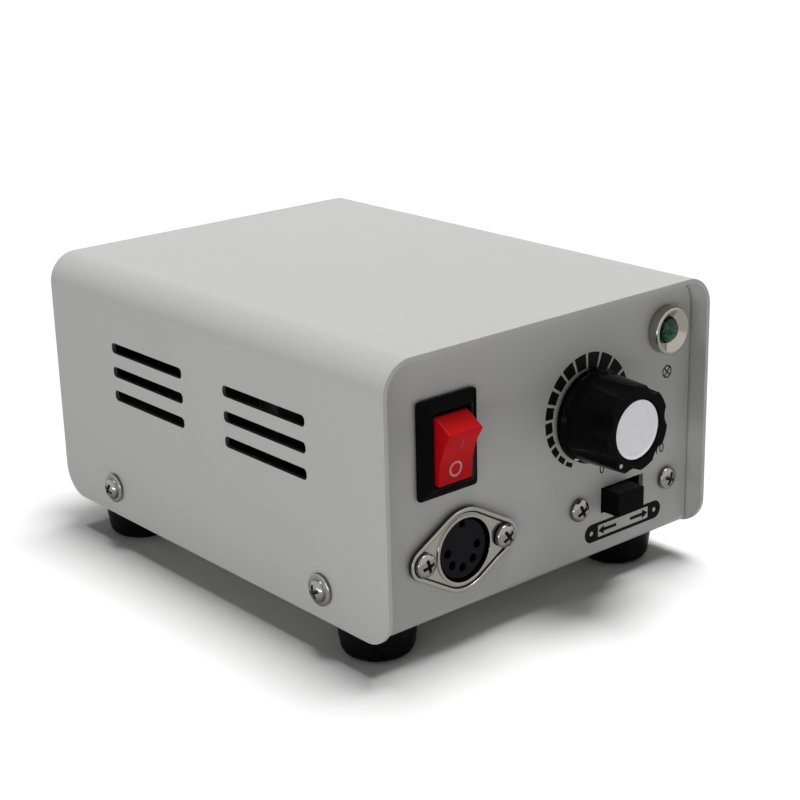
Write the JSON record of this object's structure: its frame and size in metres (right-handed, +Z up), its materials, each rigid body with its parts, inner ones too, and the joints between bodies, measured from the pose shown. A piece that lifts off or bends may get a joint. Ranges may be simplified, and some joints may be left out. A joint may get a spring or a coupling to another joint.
{
  "type": "dental lab micromotor",
  "caption": "Control box of a bench micromotor: folded sheet case on rubber feet, rocker switch, handpiece socket, speed knob, pilot lamp and direction slider.",
  "frame": {"origin": "middle of the overall box in X and Y, at the level of the feet's soles", "axes": "+X to the right as seen from the front, +Y from the front panel to the rear, +Z up"},
  "size_m": [0.0998, 0.145, 0.0681],
  "materials": {
    "cover_paint": "warm light grey powder coat, satin",
    "chassis_paint": "warm light grey powder coat, satin",
    "zinc_screw": "bright zinc plate",
    "nickel": "bright nickel plate",
    "foot_rubber": "glossy black rubber",
    "black_plastic": "glossy black moulding",
    "red_plastic": "glossy red moulding",
    "silver_disc": "silvery white disc, fine grain",
    "lens_green": "dark green lens, glossy",
    "brass": "plain brass",
    "core_iron": "varnished laminations",
    "coil_tape": "yellow winding tape",
    "board_green": "green solder mask",
    "capacitor_sleeve": "dark blue sleeve",
    "aluminium": "plain aluminium",
    "fuse_glass": "clear glass with metal ends",
    "white_nylon": "natural nylon"
  },
  "bodies": {
    "case": {"cover": "cover_paint", "chassis": "chassis_paint", "cover_screw_front_left": "zinc_screw", "cover_screw_front_right": "zinc_screw", "cover_screw_rear_left": "zinc_screw", "cover_screw_rear_right": "zinc_screw", "foot_front_left": "foot_rubber", "foot_front_right": "foot_rubber", "foot_rear_left": "foot_rubber", "foot_rear_right": "foot_rubber", "foot_screw_front_left": "zinc_screw", "foot_screw_front_right": "zinc_screw", "foot_screw_rear_left": "zinc_screw", "foot_screw_rear_right": "zinc_screw", "power_switch_housing": "black_plastic", "power_switch_terminal_upper": "brass", "power_switch_terminal_lower": "brass", "handpiece_socket_shell": "nickel", "handpiece_socket_insert": "black_plastic", "handpiece_socket_screw_left": "zinc_screw", "handpiece_socket_screw_right": "zinc_screw", "handpiece_socket_nut_left": "zinc_screw", "handpiece_socket_nut_right": "zinc_screw", "speed_pot_body": "nickel", "speed_pot_nut": "zinc_screw", "pilot_lamp_bezel": "nickel", "pilot_lamp_lens": "lens_green", "pilot_lamp_nut": "nickel", "direction_switch_body": "nickel", "direction_switch_screw_left": "zinc_screw", "direction_switch_screw_right": "zinc_screw", "transformer_core": "core_iron", "transformer_coil": "coil_tape", "transformer_strap": "zinc_screw", "transformer_screw_left": "zinc_screw", "transformer_screw_right": "zinc_screw", "circuit_board": "board_green", "board_post_front_left": "white_nylon", "board_post_front_right": "white_nylon", "board_post_rear_left": "white_nylon", "board_post_rear_right": "white_nylon", "smoothing_capacitor": "capacitor_sleeve", "bridge_rectifier": "black_plastic", "power_transistor": "black_plastic", "heat_sink": "aluminium", "fuse_holder": "black_plastic", "fuse_holder_nut": "black_plastic", "cord_gland": "black_plastic", "pedal_socket": "black_plastic", "pedal_socket_nut": "zinc_screw"},
    "rocker": {"power_rocker": "red_plastic"},
    "knob": {"speed_knob": "black_plastic", "speed_knob_cap": "silver_disc", "speed_pot_shaft": "aluminium"},
    "slider": {"direction_slider": "black_plastic"},
    "fuse_carrier": {"fuse_cap": "black_plastic", "fuse_tube": "fuse_glass"}
  },
  "joints": [
    {"name": "power_rocker_tilt", "type": "hinge", "parent": "case", "child": "rocker", "pos_m": [-0.02805, -0.058, 0.0463], "axis": [-1, 0, 0], "range_deg": [0, 34.6]},
    {"name": "speed_knob_turn", "type": "hinge", "parent": "case", "child": "knob", "pos_m": [0.0136, -0.0582, 0.0424], "axis": [0, 1, 0], "range_deg": [0, 300]},
    {"name": "direction_slide", "type": "slide", "parent": "case", "child": "slider", "axis": [1, 0, 0], "range_m": [0, 0.0047]},
    {"name": "fuse_cap_turn", "type": "hinge", "parent": "case", "child": "fuse_carrier", "pos_m": [-0.033, 0.0565, 0.0397], "axis": [0, 1, 0], "range_deg": [0, 60]}
  ]
}
